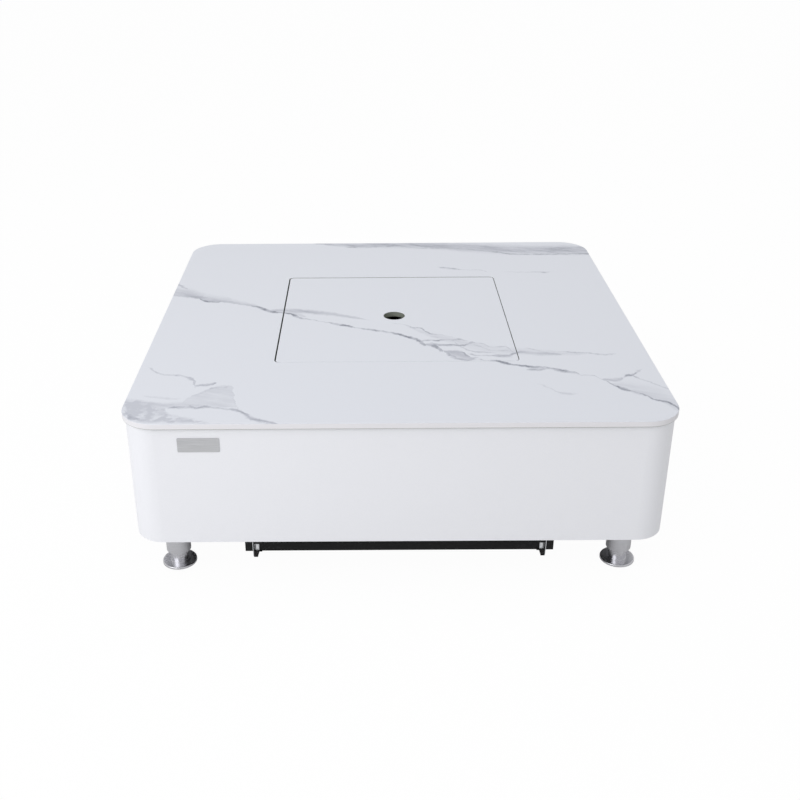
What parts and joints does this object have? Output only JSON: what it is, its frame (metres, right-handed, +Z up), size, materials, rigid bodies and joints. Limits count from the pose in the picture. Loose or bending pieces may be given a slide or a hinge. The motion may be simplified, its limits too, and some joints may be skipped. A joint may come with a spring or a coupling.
{
  "type": "fire pit table",
  "caption": "Low square gas fire pit table: marble-look stone top, flush lid over the burner, white wrap-round skirt, steel levelling legs, pull-out lid tray.",
  "frame": {"origin": "on the floor under the centre of the table", "axes": "+Z up, front towards -Y, +X to the right of someone facing the front"},
  "size_m": [1.067, 1.067, 0.362],
  "materials": {
    "stone_top": "satin printed sintered stone, white with grey veins",
    "white_skirt": "smooth white powder coat",
    "frame_black": "black powder coat",
    "satin_steel": "satin stainless steel",
    "polished_steel": "polished stainless steel",
    "pan_steel": "stainless sheet",
    "glide_rubber": "matt",
    "bush_nylon": "moulded",
    "soft_pad": "clear grey silicone",
    "brass": "turned",
    "pipe_aluminium": "drawn tube",
    "probe_ceramic": "glazed",
    "lava": "rough porous rock",
    "tray_black": "black powder coat",
    "slide_zinc": "zinc plated",
    "cap_black": "moulded",
    "plate_silver": "brushed",
    "knob_black": "moulded"
  },
  "bodies": {
    "table": {"top_slab": "stone_top", "body_skirt": "white_skirt", "front_plate": "plate_silver", "bottom_rails": "frame_black", "top_rails": "frame_black", "corner_posts": "frame_black", "pit_tubes": "frame_black", "tray_cross_tube": "frame_black", "lid_ledge": "frame_black", "leg_gussets": "frame_black", "leg_bolts": "slide_zinc", "leg_sleeves": "satin_steel", "leg_bushes": "bush_nylon", "burner_pan": "pan_steel", "lid_pads": "soft_pad", "gas_burner": "pan_steel", "burner_locknut": "brass", "burner_elbow": "brass", "air_mixer": "brass", "gas_jet": "brass", "gas_pipe": "pipe_aluminium", "pilot_bracket": "pan_steel", "spark_electrode": "probe_ceramic", "thermocouple": "brass", "lava_rocks": "lava", "control_box": "satin_steel", "control_screws": "slide_zinc", "gas_valve": "brass", "gas_inlet": "brass", "knob_bezel": "polished_steel", "igniter_body": "knob_black", "igniter_nut": "knob_black", "tray_hangers": "tray_black", "hanger_plugs": "cap_black", "slide_outer_right": "slide_zinc", "slide_outer_left": "slide_zinc", "slide_screws": "slide_zinc"},
    "lid": {"burner_lid": "stone_top"},
    "tray": {"tray_floor": "tray_black", "tray_sides": "tray_black", "tray_ends": "tray_black", "slide_inner_left": "slide_zinc", "slide_inner_right": "slide_zinc", "tray_screws": "slide_zinc", "slide_end_caps": "cap_black"},
    "slide_middles": {"slide_middle_left": "slide_zinc", "slide_middle_right": "slide_zinc", "ball_cages": "slide_zinc"},
    "stem": {"valve_stem": "satin_steel"},
    "knob": {"control_knob": "knob_black"},
    "button": {"igniter_button": "knob_black"},
    "front_left_foot": {"foot_front_left": "polished_steel", "glide_front_left": "glide_rubber"},
    "front_right_foot": {"foot_front_right": "polished_steel", "glide_front_right": "glide_rubber"},
    "back_left_foot": {"foot_back_left": "polished_steel", "glide_back_left": "glide_rubber"},
    "back_right_foot": {"foot_back_right": "polished_steel", "glide_back_right": "glide_rubber"}
  },
  "joints": [
    {"name": "lid_lift", "type": "slide", "parent": "table", "child": "lid", "axis": [0, 0, 1], "range_m": [0, 0.25]},
    {"name": "tray_slide", "type": "slide", "parent": "table", "child": "tray", "axis": [0, -1, 0], "range_m": [0, 0.48]},
    {"name": "slide_extend", "type": "slide", "parent": "table", "child": "slide_middles", "axis": [0, -1, 0], "range_m": [0, 0.24]},
    {"name": "knob_turn", "type": "hinge", "parent": "table", "child": "stem", "pos_m": [-0.048, 0.48, 0.215], "axis": [0, 1, 0], "range_deg": [0, 180]},
    {"name": "knob_push", "type": "slide", "parent": "stem", "child": "knob", "axis": [0, -1, 0], "range_m": [0, 0.004], "stiffness_N_per_m": 1500},
    {"name": "igniter_press", "type": "slide", "parent": "table", "child": "button", "axis": [0, -1, 0], "range_m": [0, 0.005], "stiffness_N_per_m": 800},
    {"name": "front_left_level", "type": "slide", "parent": "table", "child": "front_left_foot", "axis": [0, 0, -1], "range_m": [-0.01, 0.01]},
    {"name": "front_right_level", "type": "slide", "parent": "table", "child": "front_right_foot", "axis": [0, 0, -1], "range_m": [-0.01, 0.01]},
    {"name": "back_left_level", "type": "slide", "parent": "table", "child": "back_left_foot", "axis": [0, 0, -1], "range_m": [-0.01, 0.01]},
    {"name": "back_right_level", "type": "slide", "parent": "table", "child": "back_right_foot", "axis": [0, 0, -1], "range_m": [-0.01, 0.01]}
  ],
  "couplings": [
    {"joint": "slide_extend", "follows": "tray_slide", "ratio": 0.5}
  ]
}
